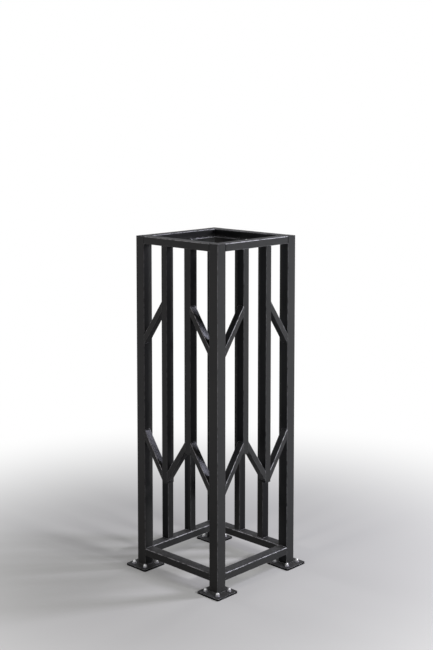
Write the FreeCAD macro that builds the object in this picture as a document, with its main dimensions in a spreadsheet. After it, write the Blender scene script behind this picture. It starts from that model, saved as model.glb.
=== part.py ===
import FreeCAD, Part
import math
import os
import Sketcher
from FreeCAD import Placement, Rotation, Vector

# Metal tree guard: a square cage of welded box section that stands round a tree.
# Four corner posts on bolted base plates carry a ring of rails at the top and one near the
# ground. Every side has two uprights. The front and right sides also have diagonal braces, and
# their uprights end on the lower braces, which leaves the foot of these sides open. The uprights
# of the other sides run from rail to rail.
# The front half is the front and right sides with three of the posts. The back half is the
# other two sides with the back left post. It is pushed round the tree onto four joint lugs.
# +Z is up, X runs to the right and Y to the back. The origin is the middle of the square, on
# the underside of the base plates.

SIZES = [
    ("guard_width", 600, "side of the square cage, over the posts"),
    ("guard_height", 1800, "ground to the top of the cage"),
    ("tube_inner_radius", 1, "inside corner radius of every box section"),
    ("edge_break", 0.8, "broken edge of plates and caps"),
    ("post_size", 60, "side of a corner post"),
    ("post_wall", 3, "wall of a corner post"),
    ("cap_thickness", 4, "plate that closes the top of a post"),
    ("rail_depth", 60, "rail, from its outer face inwards"),
    ("rail_height", 40, "rail, from bottom to top"),
    ("rail_wall", 3, "wall of a rail"),
    ("ground_gap", 65, "ground to the underside of the bottom rails"),
    ("upright_width", 40, "upright, along its side of the cage"),
    ("upright_depth", 50, "upright, from its outer face inwards"),
    ("upright_wall", 2.5, "wall of an upright"),
    ("upright_tail", 12, "how far a short upright reaches below its lower braces"),
    ("back_upright_shift", 10, "long uprights, off the middle of their side, away from their post"),
    ("brace_width", 30, "brace, across its slope, as seen from outside"),
    ("brace_depth", 40, "brace, from its outer face inwards"),
    ("brace_wall", 2, "wall of a brace"),
    ("brace_rise", 190, "height that a brace climbs across its bay"),
    ("upper_brace_height", 1225, "ground to the low ends of the upper braces"),
    ("lower_brace_height", 515, "ground to the low ends of the lower braces"),
    ("tie_bar_height", 50, "tie bar, from bottom to top"),
    ("tie_bar_depth", 30, "tie bar, from the uprights inwards"),
    ("tie_bar_wall", 2.5, "wall of a tie bar"),
    ("tie_bar_overrun", 23, "how far a tie bar runs past its upright"),
    ("plate_size", 150, "side of a base plate"),
    ("plate_thickness", 10, "thickness of a base plate"),
    ("plate_corner", 10, "corner radius of a base plate"),
    ("anchor_spacing", 85, "between the anchor holes of a base plate, both ways"),
    ("anchor_hole", 13, "diameter of an anchor hole"),
    ("weld_leg", 5, "leg of the fillet weld round the foot of a post"),
    ("weld_toe", 0.4, "flat that the foot weld ends in"),
    ("washer_diameter", 24, "outside of an anchor washer"),
    ("washer_thickness", 2.5, "thickness of an anchor washer"),
    ("nut_flats", 19, "across the flats of a dome nut"),
    ("nut_height", 6, "height of the hexagon of a dome nut"),
    ("nut_shoulder", 0.5, "ledge between the flats and the dome of a dome nut"),
    ("nut_crown", 5, "metal over the threaded hole of a dome nut"),
    ("nut_thread", 12, "diameter of the threaded hole of a dome nut"),
    ("lug_length", 70, "joint lug, from its post along the rail"),
    ("lug_width", 50, "joint lug, across the rail"),
    ("lug_thickness", 6, "thickness of a joint lug"),
    ("screw_place", 42, "joint screw, from the face of the post"),
    ("screw_diameter", 8, "shank of a joint screw"),
    ("screw_length", 20, "joint screw under its head"),
    ("screw_head_diameter", 14, "head of a joint screw"),
    ("screw_head_height", 4.4, "height of the head of a joint screw"),
    ("screw_socket", 5, "across the flats of the socket of a joint screw"),
    ("screw_socket_depth", 2.6, "depth of the socket of a joint screw"),
    ("screw_clearance", 0.5, "gap round a joint screw in its lug and its rail"),
    ("weld_nut_side", 14, "side of the square weld nut in a rail"),
    ("weld_nut_height", 6.5, "height of the weld nut"),
    ("thread_clearance", 0.1, "gap between a joint screw and its weld nut"),
]

doc = FreeCAD.newDocument("tree_guard")
sheet = doc.addObject("Spreadsheet::Sheet", "Sizes")
for row, (alias, value, meaning) in enumerate(SIZES, start=1):
    sheet.set(f"A{row}", meaning)
    sheet.set(f"B{row}", str(value))
    sheet.setAlias(f"B{row}", alias)
doc.recompute()


# --- shared sizes, as expressions over the driving dimensions ----------------------------

HALF = "Sizes.guard_width / 2"
POST_FACE = f"({HALF} - Sizes.post_size)"
POST_AXIS = f"({HALF} - Sizes.post_size / 2)"
POST_CORNER = "Sizes.tube_inner_radius + Sizes.post_wall"
RAIL_LENGTH = f"2 * {POST_FACE}"
RAIL_AXIS = f"({HALF} - Sizes.rail_depth / 2)"
TOP_RAIL_UNDERSIDE = "(Sizes.guard_height - Sizes.rail_height)"
BOTTOM_RAIL_TOP = "(Sizes.ground_gap + Sizes.rail_height)"
NUT_FOOT = "(Sizes.plate_thickness + Sizes.washer_thickness)"
SCREW_HOLE = "(Sizes.screw_diameter / 2 + Sizes.screw_clearance)"

UPRIGHTS = 2
BAYS = UPRIGHTS + 1
BAY_WIDTH = f"(({RAIL_LENGTH} - {UPRIGHTS} * Sizes.upright_width) / {BAYS})"

# Each side of the cage is made as the front side and turned about the axis of the cage.
# Along a side, x runs from the left post to the right one, as seen from outside.
SIDES = {"front": 0, "right": 90, "back": 180, "left": 270}
LEFT_END = -1
RIGHT_END = 1

# The way from the axis of the cage to each corner, in x and in y.
CORNERS = {"front_left": (-1, -1), "front_right": (1, -1), "back_right": (1, 1), "back_left": (-1, 1)}

# How each brace climbs from left to right, bay by bay, for the sides that have braces.
BRACES = {
    "front": {"upper": {1: "rising", 3: "falling"}, "lower": {1: "falling", 2: "rising", 3: "falling"}},
    "right": {"upper": {1: "rising", 3: "falling"}, "lower": {1: "rising", 2: "falling", 3: "rising"}},
}

# The ends of the back half that bolt to the front half, and the underside of its rails.
JOINT_ENDS = {"left": RIGHT_END, "back": LEFT_END}
RAIL_LEVELS = {"top": TOP_RAIL_UNDERSIDE, "bottom": "Sizes.ground_gap"}


# --- helpers -----------------------------------------------------------------------------


def worked_out(expression):
    return float(sheet.evalExpression(expression))


def new_body(label):
    body = doc.addObject("PartDesign::Body", label)
    body.Label = label
    body.AllowCompound = True
    return body


def origin_feature(body, role):
    return next(feature for feature in body.Origin.OriginFeatures if feature.Role == role)


def new_sketch(body, name, plane, x="0", y="0", z="0"):
    """A sketch on an origin plane of the body. x and y shift it in the plane, z along the normal."""
    sketch = body.newObject("Sketcher::SketchObject", f"{body.Name}_{name}")
    sketch.AttachmentSupport = [(origin_feature(body, plane), "")]
    sketch.MapMode = "FlatFace"
    for axis, expression in (("x", x), ("y", y), ("z", z)):
        sketch.setExpression(f".AttachmentOffset.Base.{axis}", expression)
    return sketch


def dimension(sketch, kind, expression, *where):
    """Adds a dimension that follows an expression."""
    index = sketch.addConstraint(Sketcher.Constraint(kind, *where, worked_out(expression)))
    sketch.setExpression(f"Constraints[{index}]", expression)


def draw_circle(sketch, radius, x="0", y="0"):
    centre = Vector(worked_out(x), worked_out(y), 0)
    circle = sketch.addGeometry(Part.Circle(centre, Vector(0, 0, 1), worked_out(radius)), False)
    dimension(sketch, "Radius", radius, circle)
    dimension(sketch, "DistanceX", x, -1, 1, circle, 3)
    dimension(sketch, "DistanceY", y, -1, 1, circle, 3)


def draw_outline(sketch, corners, arcs=None):
    """A closed outline, anticlockwise through corners, each an (x, y) pair of expressions.

    arcs maps the number of a side that is an arc to the height of its centre on the y axis.
    """
    arcs = arcs or {}
    first = sketch.GeometryCount
    last = first + len(corners) - 1
    points = [Vector(worked_out(x), worked_out(y), 0) for x, y in corners]
    for side, start in enumerate(points):
        end = points[(side + 1) % len(points)]
        if side in arcs:
            centre = Vector(0, worked_out(arcs[side]), 0)
            spokes = [start - centre, end - centre]
            circle = Part.Circle(centre, Vector(0, 0, 1), spokes[0].Length)
            angles = [math.atan2(spoke.y, spoke.x) for spoke in spokes]
            sketch.addGeometry(Part.ArcOfCircle(circle, *angles), False)
            sketch.addConstraint(Sketcher.Constraint("PointOnObject", first + side, 3, -2))
        else:
            sketch.addGeometry(Part.LineSegment(start, end), False)
    for side, (x, y) in enumerate(corners, start=first):
        if side > first:
            sketch.addConstraint(Sketcher.Constraint("Coincident", side - 1, 2, side, 1))
        dimension(sketch, "DistanceX", x, -1, 1, side, 1)
        dimension(sketch, "DistanceY", y, -1, 1, side, 1)
    sketch.addConstraint(Sketcher.Constraint("Coincident", last, 2, first, 1))


def draw_rectangle(sketch, width, height):
    """A rectangle about the origin of the sketch."""
    right, top = f"{width} / 2", f"{height} / 2"
    left, bottom = f"-1 * {right}", f"-1 * {top}"
    draw_outline(sketch, [(left, bottom), (right, bottom), (right, top), (left, top)])


def draw_hexagon(sketch, flats):
    """A hexagon about the origin of the sketch, with two of its sides upright."""
    right, top = f"{flats} / 2", f"{flats} / sqrt(3)"
    left, bottom = f"-1 * {right}", f"-1 * {top}"
    shoulder, foot = f"{top} / 2", f"{bottom} / 2"
    draw_outline(
        sketch,
        [(right, foot), (right, shoulder), ("0", top), (left, shoulder), (left, foot), ("0", bottom)],
    )


def draw_rounded(sketch, width, height, radius):
    """A rectangle with rounded corners about the origin of the sketch."""
    corner = worked_out(radius)
    right, top = worked_out(width) / 2, worked_out(height) / 2
    inner_right, inner_top = right - corner, top - corner
    first = sketch.GeometryCount
    bottom_side, right_side, top_side, left_side = range(first, first + 4)
    sides = [
        (Vector(-inner_right, -top, 0), Vector(inner_right, -top, 0)),
        (Vector(right, -inner_top, 0), Vector(right, inner_top, 0)),
        (Vector(inner_right, top, 0), Vector(-inner_right, top, 0)),
        (Vector(-right, inner_top, 0), Vector(-right, -inner_top, 0)),
    ]
    for start, end in sides:
        sketch.addGeometry(Part.LineSegment(start, end), False)
    centres = [
        (inner_right, -inner_top),
        (inner_right, inner_top),
        (-inner_right, inner_top),
        (-inner_right, -inner_top),
    ]
    for number, (x, y) in enumerate(centres):
        circle = Part.Circle(Vector(x, y, 0), Vector(0, 0, 1), corner)
        start = (number - 1) * math.pi / 2
        arc = sketch.addGeometry(Part.ArcOfCircle(circle, start, start + math.pi / 2), False)
        sketch.addConstraint(Sketcher.Constraint("Tangent", first + number, 2, arc, 1))
        sketch.addConstraint(Sketcher.Constraint("Tangent", arc, 2, first + (number + 1) % 4, 1))
        dimension(sketch, "Radius", radius, arc)
    sketch.addConstraint(Sketcher.Constraint("Horizontal", bottom_side))
    sketch.addConstraint(Sketcher.Constraint("Symmetric", bottom_side, 1, top_side, 1, -1, 1))
    dimension(sketch, "DistanceX", width, left_side, 1, right_side, 1)
    dimension(sketch, "DistanceY", height, bottom_side, 1, top_side, 1)


def draw_section(sketch, width, height, wall):
    """The profile of a box section."""
    draw_rounded(sketch, width, height, f"Sizes.tube_inner_radius + {wall}")
    draw_rounded(sketch, f"({width} - 2 * {wall})", f"({height} - 2 * {wall})", "Sizes.tube_inner_radius")


def add_feature(kind, source):
    body = source.getParentGeoFeatureGroup()
    return body.newObject(f"PartDesign::{kind}", f"{source.Name}_{kind.lower()}")


def pad(sketch, length):
    feature = add_feature("Pad", sketch)
    feature.Profile = sketch
    feature.setExpression("Length", length)
    return feature


def pocket(sketch, length):
    feature = add_feature("Pocket", sketch)
    feature.Profile = sketch
    feature.setExpression("Length", length)
    return feature


def revolve(sketch):
    """A full turn about the upright axis of the sketch."""
    feature = add_feature("Revolution", sketch)
    feature.Profile = sketch
    feature.ReferenceAxis = (sketch, ["V_Axis"])
    feature.Angle = 360
    return feature


def dress(kind, base, wanted, size_name, size):
    """A fillet or chamfer of the edges of a feature for which wanted(edge) holds."""
    doc.recompute()
    names = [f"Edge{number}" for number, edge in enumerate(base.Shape.Edges, start=1) if wanted(edge)]
    feature = add_feature(kind, base)
    feature.Base = (base, names)
    feature.setExpression(size_name, size)
    return feature


def chamfer_top(base, size):
    doc.recompute()
    top = base.Shape.BoundBox.ZMax
    tolerance = 1e-4
    return dress("Chamfer", base, lambda edge: edge.BoundBox.ZMin > top - tolerance, "Size", size)


def repeat(features, steps):
    """Repeats the features of a solid. Each step, an (axis, length) pair, doubles their number."""
    body = features[0].getParentGeoFeatureGroup()
    repeated = add_feature("MultiTransform", features[-1])
    repeated.Originals = features
    patterns = []
    for axis, length in steps:
        pattern = body.newObject("PartDesign::LinearPattern", f"{body.Name}_along_{axis}")
        pattern.Direction = (origin_feature(body, axis), [""])
        pattern.setExpression("Length", length)
        pattern.Occurrences = 2
        patterns.append(pattern)
    repeated.Transformations = patterns
    body.Tip = repeated


def stand_at_corner(body, corner):
    """Puts a piece that is made about its own axis on the axis of a corner post."""
    across, back = CORNERS[corner]
    body.setExpression(".Placement.Base.x", f"{across} * {POST_AXIS}")
    body.setExpression(".Placement.Base.y", f"{back} * {POST_AXIS}")
    return body


def turn_to_side(body, side):
    body.Placement = Placement(Vector(0, 0, 0), Rotation(Vector(0, 0, 1), SIDES[side]))
    return body


# --- corner posts and what stands on their axis ------------------------------------------


def corner_post(corner):
    body = new_body(f"{corner}_post")
    sketch = new_sketch(body, "section", "XY_Plane", z="Sizes.plate_thickness")
    draw_section(sketch, "Sizes.post_size", "Sizes.post_size", "Sizes.post_wall")
    pad(sketch, "Sizes.guard_height - Sizes.cap_thickness - Sizes.plate_thickness")
    return stand_at_corner(body, corner)


def post_cap(corner):
    body = new_body(f"{corner}_post_cap")
    sketch = new_sketch(body, "outline", "XY_Plane", z="Sizes.guard_height - Sizes.cap_thickness")
    draw_rounded(sketch, "Sizes.post_size", "Sizes.post_size", POST_CORNER)
    chamfer_top(pad(sketch, "Sizes.cap_thickness"), "Sizes.edge_break")
    return stand_at_corner(body, corner)


def base_plate(corner):
    body = new_body(f"{corner}_base_plate")
    sketch = new_sketch(body, "outline", "XY_Plane")
    draw_rounded(sketch, "Sizes.plate_size", "Sizes.plate_size", "Sizes.plate_corner")
    chamfer_top(pad(sketch, "Sizes.plate_thickness"), "Sizes.edge_break")
    holes = new_sketch(body, "anchor_holes", "XY_Plane", z="Sizes.plate_thickness")
    for across, back in CORNERS.values():
        reach = "Sizes.anchor_spacing / 2"
        draw_circle(holes, "Sizes.anchor_hole / 2", f"{across} * {reach}", f"{back} * {reach}")
    pocket(holes, "Sizes.plate_thickness")
    return stand_at_corner(body, corner)


def foot_weld(corner):
    """The fillet weld between a post and its base plate."""
    body = new_body(f"{corner}_foot_weld")
    sketch = new_sketch(body, "outline", "XY_Plane", z="Sizes.plate_thickness")
    outside = "(Sizes.post_size + 2 * Sizes.weld_leg)"
    draw_rounded(sketch, outside, outside, f"{POST_CORNER} + Sizes.weld_leg")
    chamfer_top(pad(sketch, "Sizes.weld_leg"), "Sizes.weld_leg - Sizes.weld_toe")
    hole = new_sketch(body, "post_hole", "XY_Plane", z="Sizes.plate_thickness + Sizes.weld_leg")
    draw_rounded(hole, "Sizes.post_size", "Sizes.post_size", POST_CORNER)
    pocket(hole, "Sizes.weld_leg")
    return stand_at_corner(body, corner)


# --- rails, uprights and tie bars --------------------------------------------------------


def joint_place(side):
    """Where the joint screws of a side stand along it."""
    return f"{JOINT_ENDS[side]} * ({POST_FACE} - Sizes.screw_place)"


def rail(side, level):
    underside = RAIL_LEVELS[level]
    body = new_body(f"{side}_{level}_rail")
    middle = f"{underside} + Sizes.rail_height / 2"
    sketch = new_sketch(body, "section", "YZ_Plane", f"-1 * {RAIL_AXIS}", middle, f"-1 * {POST_FACE}")
    draw_section(sketch, "Sizes.rail_depth", "Sizes.rail_height", "Sizes.rail_wall")
    pad(sketch, RAIL_LENGTH)
    if side in JOINT_ENDS:
        hole = new_sketch(body, "screw_hole", "XY_Plane", z=f"{underside} + Sizes.rail_wall")
        draw_circle(hole, SCREW_HOLE, joint_place(side), f"-1 * {RAIL_AXIS}")
        pocket(hole, "Sizes.rail_wall")
    return turn_to_side(body, side)


def bay_edge(bay, end):
    """Where a bay starts or ends along its side. Bay 1 is at the left post."""
    bays_before = bay - 1 if end == LEFT_END else bay
    return f"({bays_before} * {BAY_WIDTH} + {bay - 1} * Sizes.upright_width - {POST_FACE})"


def upright_middle(side, number):
    """Where the axis of an upright is along its side."""
    even = f"{bay_edge(number, RIGHT_END)} + Sizes.upright_width / 2"
    if side in JOINT_ENDS:
        return f"({even} + {JOINT_ENDS[side]} * Sizes.back_upright_shift)"
    return f"({even})"


def draw_upright(body, side, number, foot):
    """The section of an upright, at the height foot."""
    inwards = f"Sizes.upright_depth / 2 - {HALF}"
    sketch = new_sketch(body, "section", "XY_Plane", upright_middle(side, number), inwards, foot)
    draw_section(sketch, "Sizes.upright_width", "Sizes.upright_depth", "Sizes.upright_wall")
    return sketch


def long_upright(side, number):
    """An upright from the bottom rail to the top rail."""
    body = new_body(f"{side}_upright_{number}")
    pad(draw_upright(body, side, number, BOTTOM_RAIL_TOP), f"{TOP_RAIL_UNDERSIDE} - {BOTTOM_RAIL_TOP}")
    return turn_to_side(body, side)


def short_upright(side, number):
    """An upright from just below the lower braces to the top rail, with a plate that closes its foot."""
    body = new_body(f"{side}_upright_{number}")
    meets_high = BRACES[side]["lower"][number] == "rising"
    climbed = "Sizes.brace_rise" if meets_high else "0"
    foot = f"(Sizes.lower_brace_height + {climbed} - Sizes.upright_tail)"
    inwards = f"Sizes.upright_depth / 2 - {HALF}"
    plate = new_sketch(body, "foot_plate", "XY_Plane", upright_middle(side, number), inwards, foot)
    outer_corner = "Sizes.tube_inner_radius + Sizes.upright_wall"
    draw_rounded(plate, "Sizes.upright_width", "Sizes.upright_depth", outer_corner)
    pad(plate, "Sizes.upright_wall")
    tube_foot = f"({foot} + Sizes.upright_wall)"
    pad(draw_upright(body, side, number, tube_foot), f"{TOP_RAIL_UNDERSIDE} - {tube_foot}")
    return turn_to_side(body, side)


def tie_bar(side, post_end, start):
    """A short bar under the top rail, on the inside of the upright next to the back left post."""
    body = new_body(f"{side}_tie_bar")
    number = 1 if post_end == LEFT_END else UPRIGHTS
    past_upright = "(Sizes.upright_width / 2 + Sizes.tie_bar_overrun)"
    stop = f"({upright_middle(side, number)} - {post_end} * {past_upright})"
    first, last = (start, stop) if post_end == LEFT_END else (stop, start)
    inwards = f"Sizes.upright_depth + Sizes.tie_bar_depth / 2 - {HALF}"
    middle = f"{TOP_RAIL_UNDERSIDE} - Sizes.tie_bar_height / 2"
    sketch = new_sketch(body, "section", "YZ_Plane", inwards, middle, first)
    draw_section(sketch, "Sizes.tie_bar_depth", "Sizes.tie_bar_height", "Sizes.tie_bar_wall")
    pad(sketch, f"{last} - {first}")
    return turn_to_side(body, side)


# --- diagonal braces ---------------------------------------------------------------------


def draw_brace(sketch, bay, low, climb, inset):
    """A brace seen square on: two slopes, moved into the section by inset, and two upright ends."""
    slant = f"(sqrt({BAY_WIDTH} ^ 2 + Sizes.brace_rise ^ 2) / {BAY_WIDTH})"
    left_rise = "Sizes.brace_rise" if climb == "falling" else "0"
    right_rise = "Sizes.brace_rise" if climb == "rising" else "0"
    under = f"{low} + {inset} * {slant}"
    over = f"{low} + (Sizes.brace_width - {inset}) * {slant}"
    left, right = bay_edge(bay, LEFT_END), bay_edge(bay, RIGHT_END)
    draw_outline(
        sketch,
        [
            (left, f"{under} + {left_rise}"),
            (right, f"{under} + {right_rise}"),
            (right, f"{over} + {right_rise}"),
            (left, f"{over} + {left_rise}"),
        ],
    )


def runs_along_slope(edge):
    flat = 1e-3
    return edge.BoundBox.XLength > flat and edge.BoundBox.ZLength > flat


def brace(side, tier, bay, climb):
    """A box section between two members, cut upright at both ends."""
    body = new_body(f"{side}_{tier}_brace_{bay}")
    low = f"Sizes.{tier}_brace_height"
    outline = new_sketch(body, "outline", "XZ_Plane", z=f"{HALF} - Sizes.brace_depth")
    draw_brace(outline, bay, low, climb, "0")
    corner = "Sizes.tube_inner_radius + Sizes.brace_wall"
    dress("Fillet", pad(outline, "Sizes.brace_depth"), runs_along_slope, "Radius", corner)
    inside = new_sketch(body, "inside", "XZ_Plane", z=f"{HALF} - Sizes.brace_wall")
    draw_brace(inside, bay, low, climb, "Sizes.brace_wall")
    pocket(inside, "Sizes.brace_depth - 2 * Sizes.brace_wall")
    return turn_to_side(body, side)


# --- anchor washers and dome nuts, one of each at every anchor hole ----------------------

FIRST_ANCHOR = f"(-1 * {POST_AXIS} - Sizes.anchor_spacing / 2)"
ANCHOR_STEPS = [
    ("X_Axis", "Sizes.anchor_spacing"),
    ("Y_Axis", "Sizes.anchor_spacing"),
    ("X_Axis", f"2 * {POST_AXIS}"),
    ("Y_Axis", f"2 * {POST_AXIS}"),
]


def anchor_washers():
    body = new_body("anchor_washers")
    sketch = new_sketch(body, "ring", "XY_Plane", FIRST_ANCHOR, FIRST_ANCHOR, "Sizes.plate_thickness")
    draw_circle(sketch, "Sizes.washer_diameter / 2")
    draw_circle(sketch, "Sizes.anchor_hole / 2")
    repeat([pad(sketch, "Sizes.washer_thickness")], ANCHOR_STEPS)
    return body


def dome_nuts():
    """Dome nuts with a blind threaded hole. The edge on top of the hexagon is chamfered."""
    body = new_body("dome_nuts")
    flat, corner = "Sizes.nut_flats / 2", "Sizes.nut_flats / sqrt(3)"
    chamfer = f"({corner} - {flat}) / sqrt(3)"
    dome = "(Sizes.nut_flats / 2 - Sizes.nut_shoulder)"
    bore, bore_end = "Sizes.nut_thread / 2", f"Sizes.nut_height + {dome} - Sizes.nut_crown"
    profile = new_sketch(body, "profile", "XZ_Plane", FIRST_ANCHOR, NUT_FOOT, f"-1 * {FIRST_ANCHOR}")
    draw_outline(
        profile,
        [
            (bore, "0"),
            (corner, "0"),
            (corner, f"Sizes.nut_height - {chamfer}"),
            (flat, "Sizes.nut_height"),
            (dome, "Sizes.nut_height"),
            ("0", f"Sizes.nut_height + {dome}"),
            ("0", bore_end),
            (bore, bore_end),
        ],
        arcs={4: "Sizes.nut_height"},
    )
    turned = revolve(profile)
    top = f"{NUT_FOOT} + Sizes.nut_height"
    flats = new_sketch(body, "flats", "XY_Plane", FIRST_ANCHOR, FIRST_ANCHOR, top)
    draw_hexagon(flats, "Sizes.nut_flats")
    draw_circle(flats, "Sizes.nut_flats")
    repeat([turned, pocket(flats, "Sizes.nut_height")], ANCHOR_STEPS)
    return body


# --- the joints between the two halves ---------------------------------------------------

JOINT_STEPS = [("Z_Axis", f"{TOP_RAIL_UNDERSIDE} - Sizes.ground_gap")]


def joint_lug(side, level):
    """A plate, welded to its post, that the end of a rail lies on."""
    end = JOINT_ENDS[side]
    body = new_body(f"{side}_{level}_joint_lug")
    middle = f"{end} * ({POST_FACE} - Sizes.lug_length / 2)"
    foot = f"{RAIL_LEVELS[level]} - Sizes.lug_thickness"
    sketch = new_sketch(body, "outline", "XY_Plane", middle, f"-1 * {RAIL_AXIS}", foot)
    draw_rectangle(sketch, "Sizes.lug_length", "Sizes.lug_width")
    draw_circle(sketch, SCREW_HOLE, f"{end} * (Sizes.lug_length / 2 - Sizes.screw_place)")
    pad(sketch, "Sizes.lug_thickness")
    return turn_to_side(body, side)


def joint_screws(side):
    """Button head screws, one up through each lug into its rail."""
    body = new_body(f"{side}_joint_screws")
    foot = "(Sizes.ground_gap - Sizes.lug_thickness)"
    shank, head = "Sizes.screw_diameter / 2", "Sizes.screw_head_diameter / 2"
    rise, tip = "Sizes.screw_head_height", "Sizes.screw_length"
    profile = new_sketch(body, "profile", "XZ_Plane", joint_place(side), foot, RAIL_AXIS)
    draw_outline(
        profile,
        [("0", f"-1 * {rise}"), (head, "0"), (shank, "0"), (shank, tip), ("0", tip)],
        arcs={0: f"(({head}) ^ 2 - {rise} ^ 2) / (2 * {rise})"},
    )
    turned = revolve(profile)
    socket_end = f"{foot} - {rise} + Sizes.screw_socket_depth"
    socket = new_sketch(body, "socket", "XY_Plane", joint_place(side), f"-1 * {RAIL_AXIS}", socket_end)
    draw_hexagon(socket, "Sizes.screw_socket")
    repeat([turned, pocket(socket, "Sizes.screw_socket_depth")], JOINT_STEPS)
    return turn_to_side(body, side)


def weld_nuts(side):
    """Square nuts, welded inside the rails over the screw holes."""
    body = new_body(f"{side}_weld_nuts")
    foot = "Sizes.ground_gap + Sizes.rail_wall"
    sketch = new_sketch(body, "outline", "XY_Plane", joint_place(side), f"-1 * {RAIL_AXIS}", foot)
    draw_rectangle(sketch, "Sizes.weld_nut_side", "Sizes.weld_nut_side")
    draw_circle(sketch, "Sizes.screw_diameter / 2 + Sizes.thread_clearance")
    repeat([pad(sketch, "Sizes.weld_nut_height")], JOINT_STEPS)
    return turn_to_side(body, side)


# --- the assembly ------------------------------------------------------------------------

pieces = []
for corner in CORNERS:
    pieces += [corner_post(corner), post_cap(corner), base_plate(corner), foot_weld(corner)]
for side in SIDES:
    pieces += [rail(side, level) for level in RAIL_LEVELS]
    upright = short_upright if side in BRACES else long_upright
    pieces += [upright(side, number) for number in range(1, UPRIGHTS + 1)]
for side, tiers in BRACES.items():
    for tier, bays in tiers.items():
        pieces += [brace(side, tier, bay, climb) for bay, climb in bays.items()]
behind_back_tie_bar = f"-1 * ({HALF} - Sizes.upright_depth - Sizes.tie_bar_depth)"
pieces += [tie_bar("left", LEFT_END, behind_back_tie_bar), tie_bar("back", RIGHT_END, POST_FACE)]
pieces += [anchor_washers(), dome_nuts()]
for side in JOINT_ENDS:
    pieces += [joint_lug(side, level) for level in RAIL_LEVELS]
    pieces += [joint_screws(side), weld_nuts(side)]

# --- checks and export -------------------------------------------------------------------

doc.recompute()
for thing in doc.Objects:
    if "Invalid" in thing.State or "Error" in thing.State:
        raise RuntimeError(f"{thing.Name} did not build: {thing.State}")
    if thing.TypeId == "PartDesign::Pocket" and thing.Shape.Volume >= thing.BaseFeature.Shape.Volume:
        raise RuntimeError(f"{thing.Name} cut nothing")
for piece in pieces:
    if piece.Shape.isNull() or not piece.Shape.isValid():
        raise RuntimeError(f"{piece.Label} has no valid shape")

os.makedirs("parts", exist_ok=True)
for piece in pieces:
    piece.Shape.exportStep(f"parts/{piece.Label}.step")
print(len(pieces), "pieces written")
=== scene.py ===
"""Metal tree guard: finishes, weld beads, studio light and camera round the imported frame."""

import math
import random

import bmesh
import bpy
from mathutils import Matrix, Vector

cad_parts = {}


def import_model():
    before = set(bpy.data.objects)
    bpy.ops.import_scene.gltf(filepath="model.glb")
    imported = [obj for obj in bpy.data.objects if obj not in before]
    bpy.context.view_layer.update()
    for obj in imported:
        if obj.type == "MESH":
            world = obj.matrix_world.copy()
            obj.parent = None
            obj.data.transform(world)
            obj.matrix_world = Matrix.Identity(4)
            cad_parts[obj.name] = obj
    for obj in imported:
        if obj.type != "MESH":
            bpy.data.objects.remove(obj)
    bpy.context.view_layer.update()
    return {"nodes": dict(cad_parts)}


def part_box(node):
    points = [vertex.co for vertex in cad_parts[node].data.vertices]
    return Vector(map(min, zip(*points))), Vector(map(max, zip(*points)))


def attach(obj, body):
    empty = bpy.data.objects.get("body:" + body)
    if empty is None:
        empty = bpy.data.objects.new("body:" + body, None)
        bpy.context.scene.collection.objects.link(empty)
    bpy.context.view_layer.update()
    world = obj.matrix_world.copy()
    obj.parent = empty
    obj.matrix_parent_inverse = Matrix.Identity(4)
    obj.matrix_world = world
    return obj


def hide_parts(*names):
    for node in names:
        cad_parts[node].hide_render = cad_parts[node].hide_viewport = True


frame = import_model()

MM = 0.001
Z = Vector((0, 0, 1))
SIDES = ("front", "right", "back", "left")
CORNERS = ("front_left", "front_right", "back_right", "back_left")
LEVELS = ("bottom", "top")

# The ends of rails that lie on joint lugs, by side: 1 is the right end, as seen from outside.
BOLTED_ENDS = {"left": 1, "back": -1}

# How each brace climbs from left to right, bay by bay: 1 rises and -1 falls.
BRACES = {
    "front": {"upper": {1: 1, 3: -1}, "lower": {1: -1, 2: 1, 3: -1}},
    "right": {"upper": {1: 1, 3: -1}, "lower": {1: 1, 2: -1, 3: 1}},
}

# The braces' section, across their slope, and the rounds in which their climb is worked out.
BRACE_WIDTH = 30 * MM
CLIMB_ROUNDS = 30

# The upright that each tie bar crosses, by side.
TIED_UPRIGHTS = {"left": 1, "back": 2}

# The camera of the photograph: angles in degrees, lengths in metres, the lens in millimetres.
CAMERA_AZIMUTH = 43.85
CAMERA_ELEVATION = 4.89
CAMERA_DISTANCE = 6.174
CAMERA_AIM_HEIGHT = 1.946
CAMERA_LENS = 64.47
CAMERA_SHIFT = (0.001, -0.18)

# The coats. level is a linear grey, dust and wear are shares, tube is "flat" for rails and
# "steep" for posts, uprights and braces, and rim darkens the upright faces of flat pieces as
# painted shade. The dust share also paints a light sheen on top faces, and the wear share also
# paints highlight lines along upper edges.
PAINT_LEVEL = 0.038
PAINTS = {
    "frame_paint": dict(level=PAINT_LEVEL, dust_and_sheen=0.22, wear_and_highlight=1.0, tube="steep"),
    # The uprights' coat is the frame coat made darker, as painted shade.
    "upright_shaded_paint": dict(level=PAINT_LEVEL * 0.84, dust_and_sheen=0.22, wear_and_highlight=0.8, tube="steep"),
    "rail_paint": dict(level=PAINT_LEVEL, dust_and_sheen=0.20, wear_and_highlight=0.7, tube="flat"),
    "cap_paint": dict(level=PAINT_LEVEL, dust_and_sheen=0.20, wear_and_highlight=0.4, rim_shade=0.6),
    # The seam coat is near black: painted shadow lines along the top rails' outer joints.
    "seam_shadow_paint": dict(level=PAINT_LEVEL * 0.15, dust_and_sheen=0.0, wear_and_highlight=0.0, tube="steep"),
    "plate_paint": dict(level=PAINT_LEVEL * 0.8, dust_and_sheen=0.12, wear_and_highlight=0.5, rim_shade=0.2),
    "weld_paint": dict(level=0.05, dust_and_sheen=0.30, wear_and_highlight=0.8),
}
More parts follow.
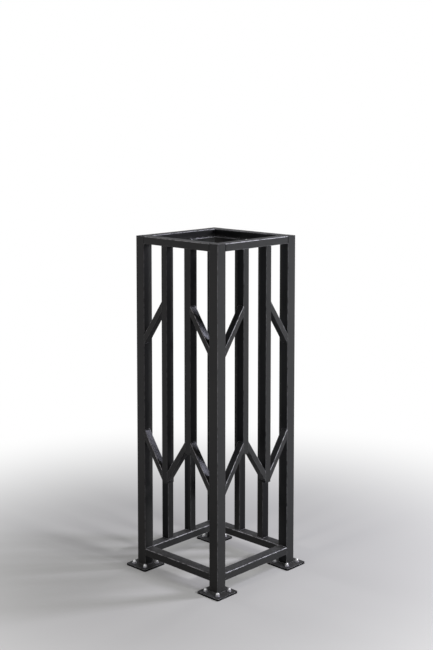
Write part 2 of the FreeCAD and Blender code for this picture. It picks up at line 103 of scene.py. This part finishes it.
METALS = {
    "nut_steel": dict(colour=(0.72, 0.72, 0.73), rough=(0.40, 0.52), stain=0.25, brush=0.5),
    "washer_zinc": dict(colour=(0.50, 0.49, 0.56), rough=(0.38, 0.55), stain=0.35, brush=0.6),
    "joint_zinc": dict(colour=(0.62, 0.61, 0.60), rough=(0.35, 0.50), stain=0.40, brush=0.6),
}
# The dust colour also paints a light sheen on top faces.
DUST_AND_SHEEN_COLOUR = (0.20, 0.19, 0.22, 1.0)
# The wear colour also paints highlight lines along upper edges.
WEAR_AND_HIGHLIGHT_COLOUR = (0.72, 0.72, 0.78, 1.0)
STAIN_COLOUR = (0.12, 0.085, 0.06, 1.0)

# How far the tone departs from the coat's level in its clouds and in its fine mottle.
CLOUD_SPREAD = 0.06
CLOUD_COOLNESS = 0.02
MOTTLE_LIFT = 0.25
MOTTLE_SHARE = 0.2

# The darker clouds of bare metal, as a share of its colour.
METAL_CLOUD = 0.72

# Where an effect sets in and where it is full, by how far the surface looks up or sideways.
TOP_FACES = (0.6, 0.95)
UPPER_EDGES = (0.05, 0.35)
SIDEWAYS_EDGES = (0.1, 0.5)
TUBE_EDGES = (0.1, 0.4)

# The same for sharp edges, by the cosine between the face and its rounded edge.
SHARP_EDGES = (0.995, 0.90)
EDGE_RADIUS = 1.6 * MM

# Share of the edge wear and painted highlight left on edges that look down, and on edges that
# don't look along x.
WEAR_AND_HIGHLIGHT_BELOW = 0.12
WEAR_AND_HIGHLIGHT_OFF_X = 0.85

# What upper faces and stains add to the roughness.
TOP_ROUGHNESS = 0.35
STAIN_ROUGHNESS = 0.4

# Weld beads. Crowns, depths, sizes and scatters are shares of a bead's leg.
TUBE_CORNER = 4 * MM
LUG_INSET = 2 * MM
FILLET = 3.2 * MM
CROWN = 0.22
ROOT_DEPTH = 0.12
ARCH_STEPS = 4
RIPPLE_LENGTH = 2.4 * MM
RIPPLE_SIZE = 0.12
RIPPLE_BOW = 0.8 * MM
SECTIONS_PER_RIPPLE = 3
FEWEST_STEPS = 6
SCATTER = 0.06
BEAD_TAPER = 2.5 * MM
BEAD_END_SIZE = 0.45

# Low beads between flush faces: their width is shared out between the two pieces.
SEAM = 2.6 * MM
SEAM_CROWN = 0.12
SEAM_ON_PIECE = 0.8
SEAM_ON_CARRIER = 1.2

# Stitches along a tie bar: where each begins in its step, and its length, in steps.
STITCHES = 4
STITCH_START = 0.3
STITCH_LENGTH = 0.4

# The beads round the posts' feet.
FOOT_FILLET = 5.6 * MM
FOOT_RIPPLE_LENGTH = 7 * MM
FOOT_RIPPLE_SIZE = 0.35
FOOT_SECTIONS_PER_RIPPLE = 6
FOOT_SCATTER = 0.04

CHANCE = random.Random(7)

# The floor: its grey as the camera sees it, its grey as it lights the object, its own glow, and
# how far from the middle it begins to fade to white and is white.
FLOOR_HALF_WIDTH = 40.0
FLOOR_SEEN = 0.385
FLOOR_THROWN = 0.12
FLOOR_GLOW = 0.12
FLOOR_FADE = (0.7, 2.9)

WORLD_LEVEL = 0.05
WORLD_COLOUR = (0.92, 0.95, 1.0, 1.0)

# The lamps, in degrees, metres and watts. The key and the fill are flat ones at the height of
# the top rails, so that they don't reach the inner faces of the far ones.
AT_RAILS = dict(elevation=0, distance=3.4, aim_height=1.77)
LAMPS = {
    "key": dict(azimuth=91, size=(0.6, 0.25), power=98, **AT_RAILS),
    "fill": dict(azimuth=2, size=(0.5, 0.25), power=35, colour=(1.0, 0.94, 0.88), **AT_RAILS),
    "back": dict(
        azimuth=141,
        elevation=30,
        size=(0.7, 1.8),
        power=132,
        colour=(0.92, 0.90, 1.0),
        mirrored=True,
    ),
    "rear": dict(azimuth=183, size=(1.0, 2.0), power=34),
    "far_left": dict(azimuth=274, size=(1.0, 2.0), power=34),
}


# ---------------------------------------------------------------- materials


class Shader:
    """Builds the nodes of one material or world in a few words."""

    def __init__(self, owner, output="ShaderNodeOutputMaterial"):
        owner.use_nodes = True
        self.owner = owner
        self.tree = owner.node_tree
        self.tree.nodes.clear()
        self.output = self.node(output)

    def node(self, kind, inputs=None, **settings):
        made = self.tree.nodes.new(kind)
        for key, value in settings.items():
            setattr(made, key, value)
        for key, value in (inputs or {}).items():
            self.feed(made.inputs[key], value)
        return made

    def feed(self, socket, value):
        if isinstance(value, bpy.types.NodeSocket):
            self.tree.links.new(value, socket)
        else:
            socket.default_value = value

    def place(self):
        return self.node("ShaderNodeTexCoord").outputs["Object"]

    def stretched(self, scale):
        mapping = self.node("ShaderNodeMapping", {"Vector": self.place(), "Scale": scale})
        return mapping.outputs["Vector"]

    def noise(self, scale, detail, roughness=0.55, where=None):
        made = self.node(
            "ShaderNodeTexNoise",
            {
                "Vector": where or self.place(),
                "Scale": scale,
                "Detail": detail,
                "Roughness": roughness,
            },
        )
        return made.outputs["Fac"]

    def span(self, value, reach, gives=(0.0, 1.0)):
        """Goes smoothly from gives[0] to gives[1] while value goes from reach[0] to reach[1]."""
        made = self.node(
            "ShaderNodeMapRange",
            {
                "Value": value,
                "From Min": reach[0],
                "From Max": reach[1],
                "To Min": gives[0],
                "To Max": gives[1],
            },
            interpolation_type="SMOOTHSTEP",
        )
        return made.outputs["Result"]

    def patches(self, reach, gives=(0.0, 1.0), **noise):
        return self.span(self.noise(**noise), reach, gives)

    def math(self, operation, first, second=0.0):
        return self.node("ShaderNodeMath", {0: first, 1: second}, operation=operation).outputs[0]

    def times(self, first, *others):
        for other in others:
            first = self.math("MULTIPLY", first, other)
        return first

    def mix(self, share, first, second):
        made = self.node("ShaderNodeMix", data_type="RGBA")
        self.feed(made.inputs["Factor"], share)
        self.feed(made.inputs["A"], first)
        self.feed(made.inputs["B"], second)
        return made.outputs["Result"]

    def looks(self):
        """The direction that the surface looks in, as sockets X, Y and Z."""
        normal = self.node("ShaderNodeNewGeometry").outputs["Normal"]
        return self.node("ShaderNodeSeparateXYZ", {"Vector": normal}).outputs

    def facing(self):
        """How far the surface faces along x, y and z, without sign."""
        parts = self.looks()
        return [self.math("ABSOLUTE", parts[axis]) for axis in "XYZ"]

    def upward(self):
        return self.looks()["Z"]

    def rounded_edges(self, lies_flat):
        """1 on the rounded corners of a tube. A flat tube is a rail, the others stand or lean."""
        x, y, z = self.facing()
        if lies_flat:
            slant = self.math("MINIMUM", z, self.math("MAXIMUM", x, y))
        else:
            slant = self.math("MINIMUM", x, y)
        return self.span(slant, TUBE_EDGES)

    def sharp_edges(self):
        """1 along outside edges, 0 on flats."""
        plain = self.node("ShaderNodeNewGeometry").outputs["Normal"]
        soft = self.node("ShaderNodeBevel", {"Radius": EDGE_RADIUS}, samples=4).outputs["Normal"]
        along = self.node("ShaderNodeVectorMath", {0: plain, 1: soft}, operation="DOT_PRODUCT")
        return self.span(along.outputs["Value"], SHARP_EDGES)

    def bump(self, height, distance, strength, normal=None):
        made = self.node(
            "ShaderNodeBump",
            {"Height": height, "Distance": distance, "Strength": strength},
        )
        if normal:
            self.feed(made.inputs["Normal"], normal)
        return made.outputs["Normal"]

    def blend(self, share, first, second):
        """Two shaders mixed: the first where share is 0, the second where it is 1."""
        return self.node("ShaderNodeMixShader", {0: share, 1: first, 2: second}).outputs[0]

    def shown(self):
        """1 for rays that show the background: camera, glossy and transmission rays."""
        path = self.node("ShaderNodeLightPath").outputs
        glossy = self.math("MAXIMUM", path["Is Camera Ray"], path["Is Glossy Ray"])
        return self.math("MAXIMUM", glossy, path["Is Transmission Ray"])

    def surface(self, **inputs):
        named = {key.replace("_", " ").title(): value for key, value in inputs.items()}
        named = {key.replace("Ior", "IOR"): value for key, value in named.items()}
        shader = self.node("ShaderNodeBsdfPrincipled", named)
        self.feed(self.output.inputs["Surface"], shader.outputs["BSDF"])


def material(name):
    """The frame's own material of this name, or else a new one."""
    return bpy.data.materials.get(name) or bpy.data.materials.new(name)


def grey(level, warmth=0.0):
    return (level * (1 + warmth), level, level * (1 - warmth), 1.0)


def powder_coat(name, level, dust_and_sheen, wear_and_highlight, tube=None, rim_shade=1.0):
    """Dark satin powder coat: orange peel, fine grain, rubbed edges that also carry painted
    highlights on the upper ones, and dust on top that also paints a light sheen there.

    tube is "flat" for rails and "steep" for posts, uprights and braces, whose rounded corners
    are rubbed. Other pieces are rubbed along their sharp edges. rim darkens the faces that stand
    upright as painted shade, on the rims of base plates and caps.
    """
    s = Shader(material(name))
    clouds = s.patches(reach=(0.3, 0.7), scale=5.0, detail=4.0)
    darker = grey(level * (1 - CLOUD_SPREAD), warmth=-CLOUD_COOLNESS)
    coat = s.mix(clouds, darker, grey(level * (1 + CLOUD_SPREAD)))
    mottle = s.patches(reach=(0.25, 0.75), scale=90.0, detail=2.0)
    coat = s.mix(s.times(mottle, MOTTLE_SHARE), coat, grey(level * (1 + MOTTLE_LIFT)))

    top = s.span(s.upward(), TOP_FACES)
    # Painted shade: faces that stand upright are darkened to rim times the level.
    if rim_shade < 1:
        coat = s.mix(top, grey(level * rim_shade), coat)
    # Dust on top faces, also a painted sheen of light there.
    dust_sheen_patches = s.patches(reach=(0.42, 0.72), scale=38.0, detail=6.0, roughness=0.7)
    coat = s.mix(s.times(top, dust_sheen_patches, dust_and_sheen), coat, DUST_AND_SHEEN_COLOUR)

    # Rubbed edges, also painted highlights: fullest on upper edges that look along x.
    edges = s.rounded_edges(tube == "flat") if tube else s.sharp_edges()
    upper = s.span(s.upward(), UPPER_EDGES, (WEAR_AND_HIGHLIGHT_BELOW, 1.0))
    sideways = s.span(s.facing()[0], SIDEWAYS_EDGES, (WEAR_AND_HIGHLIGHT_OFF_X, 1.0))
    chips_and_glints = s.patches(reach=(0.3, 0.6), scale=34.0, detail=5.0, roughness=0.7)
    coat = s.mix(s.times(edges, upper, sideways, chips_and_glints, wear_and_highlight), coat, WEAR_AND_HIGHLIGHT_COLOUR)

    rough = s.patches(reach=(0.25, 0.75), gives=(0.22, 0.27), scale=22.0, detail=4.0)
    peel = s.bump(s.noise(scale=520.0, detail=2.0), distance=0.09 * MM, strength=0.5)
    grain = s.bump(s.noise(scale=2400.0, detail=2.0), distance=0.02 * MM, strength=0.4, normal=peel)
    s.surface(
        base_color=coat,
        roughness=s.math("ADD", rough, s.times(top, TOP_ROUGHNESS)),
        ior=1.2,
        specular_tint=(0.84, 0.87, 1.0, 1.0),
        diffuse_roughness=0.5,
        normal=grain,
    )
    return s.owner


def bare_metal(name, colour, rough, stain, brush):
    """Stainless or zinc: fine turning marks, cloudy roughness and a little stain."""
    s = Shader(material(name))
    clouds = s.patches(reach=(0.3, 0.7), scale=120.0, detail=4.0)
    darker = (*(METAL_CLOUD * part for part in colour), 1.0)
    tone = s.mix(clouds, darker, (*colour, 1.0))
    spots = s.patches(reach=(0.55, 0.75), scale=330.0, detail=5.0, roughness=0.7)
    spots = s.times(spots, stain)
    uneven = s.patches(reach=(0.25, 0.75), gives=rough, scale=260.0, detail=3.0)
    lines = s.noise(scale=900.0, detail=2.0, where=s.stretched((1, 1, 14)))
    s.surface(
        base_color=s.mix(spots, tone, STAIN_COLOUR),
        metallic=s.span(spots, (0.2, 0.8), gives=(1.0, 0.3)),
        roughness=s.math("ADD", uneven, s.times(spots, STAIN_ROUGHNESS)),
        normal=s.bump(lines, distance=0.02 * MM, strength=brush),
    )
    return s.owner


MATERIALS = {name: powder_coat(name, **look) for name, look in PAINTS.items()}
MATERIALS.update((name, bare_metal(name, **look)) for name, look in METALS.items())


def finish_for(name, slot):
    """The finish of a node: that of its slot, apart from rails, tie bars, uprights and caps."""
    if name.endswith(("rail", "tie_bar")):
        return "rail_paint"
    if "upright" in name:
        return "upright_shaded_paint"
    if name.endswith("cap"):
        return "cap_paint"
    return slot


def finish_nodes():
    """Gives every carried-over piece its finish."""
    for name, node in frame["nodes"].items():
        for held in node.material_slots:
            slot = held.material.name.split(".")[0]
            held.material = MATERIALS[finish_for(name, slot)]


# -------------------------------------------------------------- weld beads


class Side:
    """One side of the cage: places by x along it, y from the middle of the cage and z up.

    The side is seen from outside, with x from left to right and its outer face at the lowest y.
    """

    def __init__(self, name):
        self.name = name
        turn = SIDES.index(name) * math.pi / 2
        self.right = Vector((math.cos(turn), math.sin(turn), 0))
        self.inwards = Vector((-math.sin(turn), math.cos(turn), 0))
        self.outwards = -self.inwards

    def point(self, x, y, z):
        return self.right * x + self.inwards * y + Z * z

    def seam(self, x, y, z):
        """The two ends of a seam. The one of x, y and z that changes along it is a pair."""
        return [
            self.point(*(part[end] if isinstance(part, tuple) else part for part in (x, y, z)))
            for end in (0, 1)
        ]

    def box(self, node):
        """Lowest and highest corner of a node, in this side's own directions."""
        ends = [Vector(corner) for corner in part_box(f"{self.name}_{node}")]
        places = [(end.dot(self.right), end.dot(self.inwards), end.z) for end in ends]
        return [tuple(pick(axis) for axis in zip(*places)) for pick in (min, max)]


def inset(low, high, by=TUBE_CORNER):
    """The straight part of an edge, between its rounded corners."""
    return (low + by, high - by)


class Beads:
    """Collects weld beads, each a rippled bar along a seam, and joins them into one mesh."""

    def __init__(self):
        self.points = []
        self.faces = []

    def section(self, root, along, first, second, outward, leg, crown):
        """The points of one section: an arch from first to second, closed below the seam."""
        for k in range(ARCH_STEPS + 1):
            share = k / ARCH_STEPS
            arch = math.sin(math.pi * share)
            reach = first * (1 - share) + second * share + outward * crown * arch
            self.points.append(root + reach * leg - along * (RIPPLE_BOW * arch))
        self.points.append(root - outward * leg * ROOT_DEPTH)

    def skin(self, base, sections, closed=False):
        """Joins the sections from point number base on, and closes the ends of an open bead."""
        around = ARCH_STEPS + 2
        for i in range(sections if closed else sections - 1):
            here, there = base + i * around, base + (i + 1) % sections * around
            for k in range(around):
                after = (k + 1) % around
                self.faces.append((here + k, here + after, there + after, there + k))
        if not closed:
            last = base + (sections - 1) * around
            self.faces.append(tuple(base + k for k in reversed(range(around))))
            self.faces.append(tuple(last + k for k in range(around)))

    def run(self, seam, first, second, leg, outward, crown):
        """A straight bead. Its section spans the seam from first to second, times leg."""
        start, end = seam
        length = (end - start).length
        along = (end - start) / length
        sections = max(FEWEST_STEPS, round(length / RIPPLE_LENGTH * SECTIONS_PER_RIPPLE)) + 1
        phase = CHANCE.random() * math.tau
        base = len(self.points)
        for i in range(sections):
            place = i / (sections - 1) * length
            near_end = min(place, length - place)
            growth = min(1.0, near_end / BEAD_TAPER) ** 0.5
            taper = BEAD_END_SIZE + (1 - BEAD_END_SIZE) * growth
            wave = math.sin(place / RIPPLE_LENGTH * math.tau + phase)
            size = leg * taper * (1 + RIPPLE_SIZE * wave + CHANCE.uniform(-SCATTER, SCATTER))
            self.section(start + along * place, along, first, second, outward, size, crown)
        self.skin(base, sections)

    def fillet(self, seam, first, second):
        """A bead in the corner between two faces that run off in the two directions."""
        self.run(seam, first, second, FILLET, (first + second).normalized(), CROWN)

    def flush(self, seam, away, outward):
        """A low bead between flush faces. away points along the welded piece, off the seam."""
        first, second = away * SEAM_ON_PIECE, -away * SEAM_ON_CARRIER
        self.run(seam, first, second, SEAM, outward, SEAM_CROWN)

    def foot(self, centre, half):
        """A bead round the foot of a square post, on its base plate."""
        base = len(self.points)
        flat = half - TUBE_CORNER
        straight = 2 * flat
        quarter_length = straight + TUBE_CORNER * math.pi / 2
        around = 4 * quarter_length
        sections = round(around / FOOT_RIPPLE_LENGTH * FOOT_SECTIONS_PER_RIPPLE)
        ripples = round(around / FOOT_RIPPLE_LENGTH)
        phase = CHANCE.random() * math.tau
        for i in range(sections):
            quarter, place = divmod(i / sections * around, quarter_length)
            face = quarter * math.pi / 2
            turn = face + max(0.0, place - straight) / TUBE_CORNER
            slide = min(place, straight) - flat
            face_out = Vector((math.cos(face), math.sin(face), 0))
            face_along = Vector((-math.sin(face), math.cos(face), 0))
            out = Vector((math.cos(turn), math.sin(turn), 0))
            root = centre + face_out * flat + face_along * slide + out * TUBE_CORNER
            wave = abs(math.sin(i / sections * ripples * math.pi + phase))
            scatter = CHANCE.uniform(-FOOT_SCATTER, FOOT_SCATTER)
            size = FOOT_FILLET * (1 - FOOT_RIPPLE_SIZE * (1 - wave) + scatter)
            self.section(root, Z.cross(out), out, Z, (out + Z).normalized(), size, CROWN)
        self.skin(base, sections, closed=True)

    def piece(self, name, slot, finish=None):
        """The beads as one object, in the look of slot, or of finish where one is given."""
        mesh = bpy.data.meshes.new(name)
        mesh.from_pydata(self.points, [], self.faces)
        mesh.polygons.foreach_set("use_smooth", [True] * len(mesh.polygons))
        turned = bmesh.new()
        turned.from_mesh(mesh)
        bmesh.ops.recalc_face_normals(turned, faces=turned.faces)
        turned.to_mesh(mesh)
        turned.free()
        made = bpy.data.objects.new(name, mesh)
        bpy.context.scene.collection.objects.link(made)
        mesh.materials.append(MATERIALS[finish or slot])
        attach(made, "root")
        return made


def rail_welds():
    """The rails' ends on the posts. Two sides are bolted at one end, which has no weld.

    The top rails' outer seams are low beads in a near-black coat, painted shadow lines along the
    joints.
    """
    beads, seams = Beads(), Beads()
    for name in SIDES:
        side = Side(name)
        for level in LEVELS:
            (x0, y0, z0), (x1, y1, z1) = side.box(f"{level}_rail")
            for end, x in ((-1, x0), (1, x1)):
                if BOLTED_ENDS.get(name) == end:
                    continue
                away = side.right * -end
                beads.fillet(side.seam(x, inset(y0, y1), z0), away, -Z)
                if level == "bottom":
                    beads.fillet(side.seam(x, inset(y0, y1), z1), away, Z)
                # The top rails' outer seams are the painted shadow lines.
                outer = seams if level == "top" else beads
                outer.flush(side.seam(x, y0, inset(z0, z1)), away, side.outwards)
                beads.flush(side.seam(x, y1, inset(z0, z1)), away, side.inwards)
    beads.piece("rail_welds", "frame_paint")
    seams.piece("rail_seam_shadows", "frame_paint", "seam_shadow_paint")


def upright_welds():
    """The uprights' ends: under the top rails, and the long ones' on the bottom rails too."""
    beads = Beads()
    for name in SIDES:
        side = Side(name)
        rail_top = side.box("bottom_rail")[1][2]
        for number in (1, 2):
            (x0, y0, z0), (x1, y1, z1) = side.box(f"upright_{number}")
            ends = [(z1, -Z)]
            if abs(z0 - rail_top) < MM:
                ends.append((z0, Z))
            for z, away in ends:
                beads.fillet(side.seam(inset(x0, x1), y1, z), side.inwards, away)
                beads.flush(side.seam(inset(x0, x1), y0, z), away, side.outwards)
                for x, out in ((x0, -side.right), (x1, side.right)):
                    beads.fillet(side.seam(x, inset(y0, y1), z), out, away)
    beads.piece("upright_welds", "frame_paint")


def brace_welds():
    """Both ends of each brace, on all four of its faces."""
    beads = Beads()
    for name, tiers in BRACES.items():
        side = Side(name)
        for tier, climbs in tiers.items():
            for bay, climb in climbs.items():
                (x0, y0, z0), (x1, y1, z1) = side.box(f"{tier}_brace_{bay}")
                width = x1 - x0
                rise = brace_rise(z1 - z0, width)
                thick = z1 - z0 - rise
                for end, x in ((-1, x0), (1, x1)):
                    away = side.right * -end
                    lean = (away * width - Z * end * (rise * climb)).normalized()
                    under = z0 + (rise if end == climb else 0.0)
                    over = under + thick
                    for z, up in ((under, -Z), (over, Z)):
                        beads.fillet(side.seam(x, inset(y0, y1), z), lean, up)
                    beads.fillet(side.seam(x, y1, inset(under, over)), away, side.inwards)
                    beads.flush(side.seam(x, y0, inset(under, over)), away, side.outwards)
    beads.piece("brace_welds", "frame_paint")


def brace_rise(height, width):
    """How far a brace climbs, from the height and width of its box, by repeated mending."""
    rise = height
    for _ in range(CLIMB_ROUNDS):
        rise = height - BRACE_WIDTH * math.hypot(width, rise) / width
    return rise


def tie_bar_welds():
    """Upright beads where a tie bar crosses its upright, and stitches under its rail."""
    beads = Beads()
    for name, number in TIED_UPRIGHTS.items():
        side = Side(name)
        (x0, y0, z0), (x1, _, z1) = side.box("tie_bar")
        upright_low, upright_high = side.box(f"upright_{number}")
        rail_back = side.box("top_rail")[1][1]
        for x, out in ((upright_low[0], -side.right), (upright_high[0], side.right)):
            beads.fillet(side.seam(x, y0, inset(z0, z1)), out, side.outwards)
        step = (x1 - x0) / STITCHES
        for k in range(STITCHES):
            start = x0 + (k + STITCH_START) * step
            stitch = side.seam((start, start + STITCH_LENGTH * step), rail_back, z1)
            beads.fillet(stitch, side.inwards, Z)
    beads.piece("tie_bar_welds", "frame_paint")


def lug_welds():
    """The joint lugs on their posts."""
    beads = Beads()
    for name, end in BOLTED_ENDS.items():
        side = Side(name)
        for level in LEVELS:
            (x0, y0, z0), (x1, y1, _) = side.box(f"{level}_joint_lug")
            x = x1 if end == 1 else x0
            beads.fillet(side.seam(x, inset(y0, y1, LUG_INSET), z0), side.right * -end, -Z)
    beads.piece("lug_welds", "plate_paint")


def foot_welds():
    """A rippled fillet round the foot of each post, in place of the plain ring."""
    for corner in CORNERS:
        low, high = [Vector(end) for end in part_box(f"{corner}_post")]
        centre = (low + high) / 2
        centre.z = low.z
        beads = Beads()
        beads.foot(centre, (high.x - low.x) / 2)
        made = beads.piece(f"{corner}_foot_bead", "weld_paint")
        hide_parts(f"{corner}_foot_weld")


# ------------------------------------------------------------------- stage


def floor():
    """A wide floor that takes the object's shadow and fades to white away from it.

    Only rays that show it find it pale. To light on its way to the object it is a darker grey.
    """
    mesh = bpy.data.meshes.new("floor")
    half = FLOOR_HALF_WIDTH
    corners = [(-half, -half, 0), (half, -half, 0), (half, half, 0), (-half, half, 0)]
    mesh.from_pydata(corners, [], [(0, 1, 2, 3)])
    made = bpy.data.objects.new("floor", mesh)
    bpy.context.scene.collection.objects.link(made)
    s = Shader(material("floor"))
    seen = s.node("ShaderNodeBsdfDiffuse", {"Color": grey(FLOOR_SEEN)}).outputs[0]
    thrown = s.node("ShaderNodeBsdfDiffuse", {"Color": grey(FLOOR_THROWN)}).outputs[0]
    glow = s.node("ShaderNodeEmission", {"Color": grey(1.0), "Strength": FLOOR_GLOW}).outputs[0]
    white = s.node("ShaderNodeEmission", {"Color": grey(1.0), "Strength": 1.0}).outputs[0]
    near = s.node("ShaderNodeAddShader", {0: seen, 1: glow}).outputs[0]
    distance = s.node("ShaderNodeVectorMath", {0: s.place()}, operation="LENGTH")
    away = s.span(distance.outputs["Value"], FLOOR_FADE)
    s.feed(s.output.inputs["Surface"], s.blend(s.shown(), thrown, s.blend(away, near, white)))
    mesh.materials.append(s.owner)


def world():
    """A faint cool light from all sides, behind a background that shows as white."""
    made = bpy.data.worlds.new("studio")
    bpy.context.scene.world = made
    s = Shader(made, "ShaderNodeOutputWorld")
    light = s.node("ShaderNodeBackground", {"Color": WORLD_COLOUR, "Strength": WORLD_LEVEL})
    white = s.node("ShaderNodeBackground", {"Color": grey(1.0), "Strength": 1.0})
    s.feed(s.output.inputs["Surface"], s.blend(s.shown(), light.outputs[0], white.outputs[0]))


def aim(made, azimuth, elevation, distance, height):
    """Puts a lamp or the camera into the scene, looking at the guard's axis at a height."""
    azimuth, elevation = math.radians(azimuth), math.radians(elevation)
    back = Vector((
        math.sin(azimuth) * math.cos(elevation),
        -math.cos(azimuth) * math.cos(elevation),
        math.sin(elevation),
    ))
    made.location = Z * height + back * distance
    made.rotation_euler = (-back).to_track_quat("-Z", "Y").to_euler()
    bpy.context.scene.collection.objects.link(made)


def lamp(
    name,
    azimuth,
    size,
    power,
    elevation=24,
    distance=4.0,
    aim_height=1.2,
    colour=(1.0, 1.0, 1.0),
    mirrored=False,
):
    """A soft lamp. Only a mirrored one shows in the paint and the metal."""
    light = bpy.data.lights.new(name, "AREA")
    light.shape = "RECTANGLE"
    light.size, light.size_y = size
    light.energy = power
    light.color = colour
    made = bpy.data.objects.new(name, light)
    made.visible_glossy = mirrored
    aim(made, azimuth, elevation, distance, aim_height)


def camera():
    lens = bpy.data.cameras.new("camera")
    lens.lens = CAMERA_LENS
    lens.shift_x, lens.shift_y = CAMERA_SHIFT
    made = bpy.data.objects.new("camera", lens)
    aim(made, CAMERA_AZIMUTH, CAMERA_ELEVATION, CAMERA_DISTANCE, CAMERA_AIM_HEIGHT)
    bpy.context.scene.camera = made


finish_nodes()
rail_welds()
upright_welds()
brace_welds()
tie_bar_welds()
lug_welds()
foot_welds()
floor()
world()
for name, look in LAMPS.items():
    lamp(name, **look)
camera()
bpy.context.scene.view_settings.view_transform = "Standard"
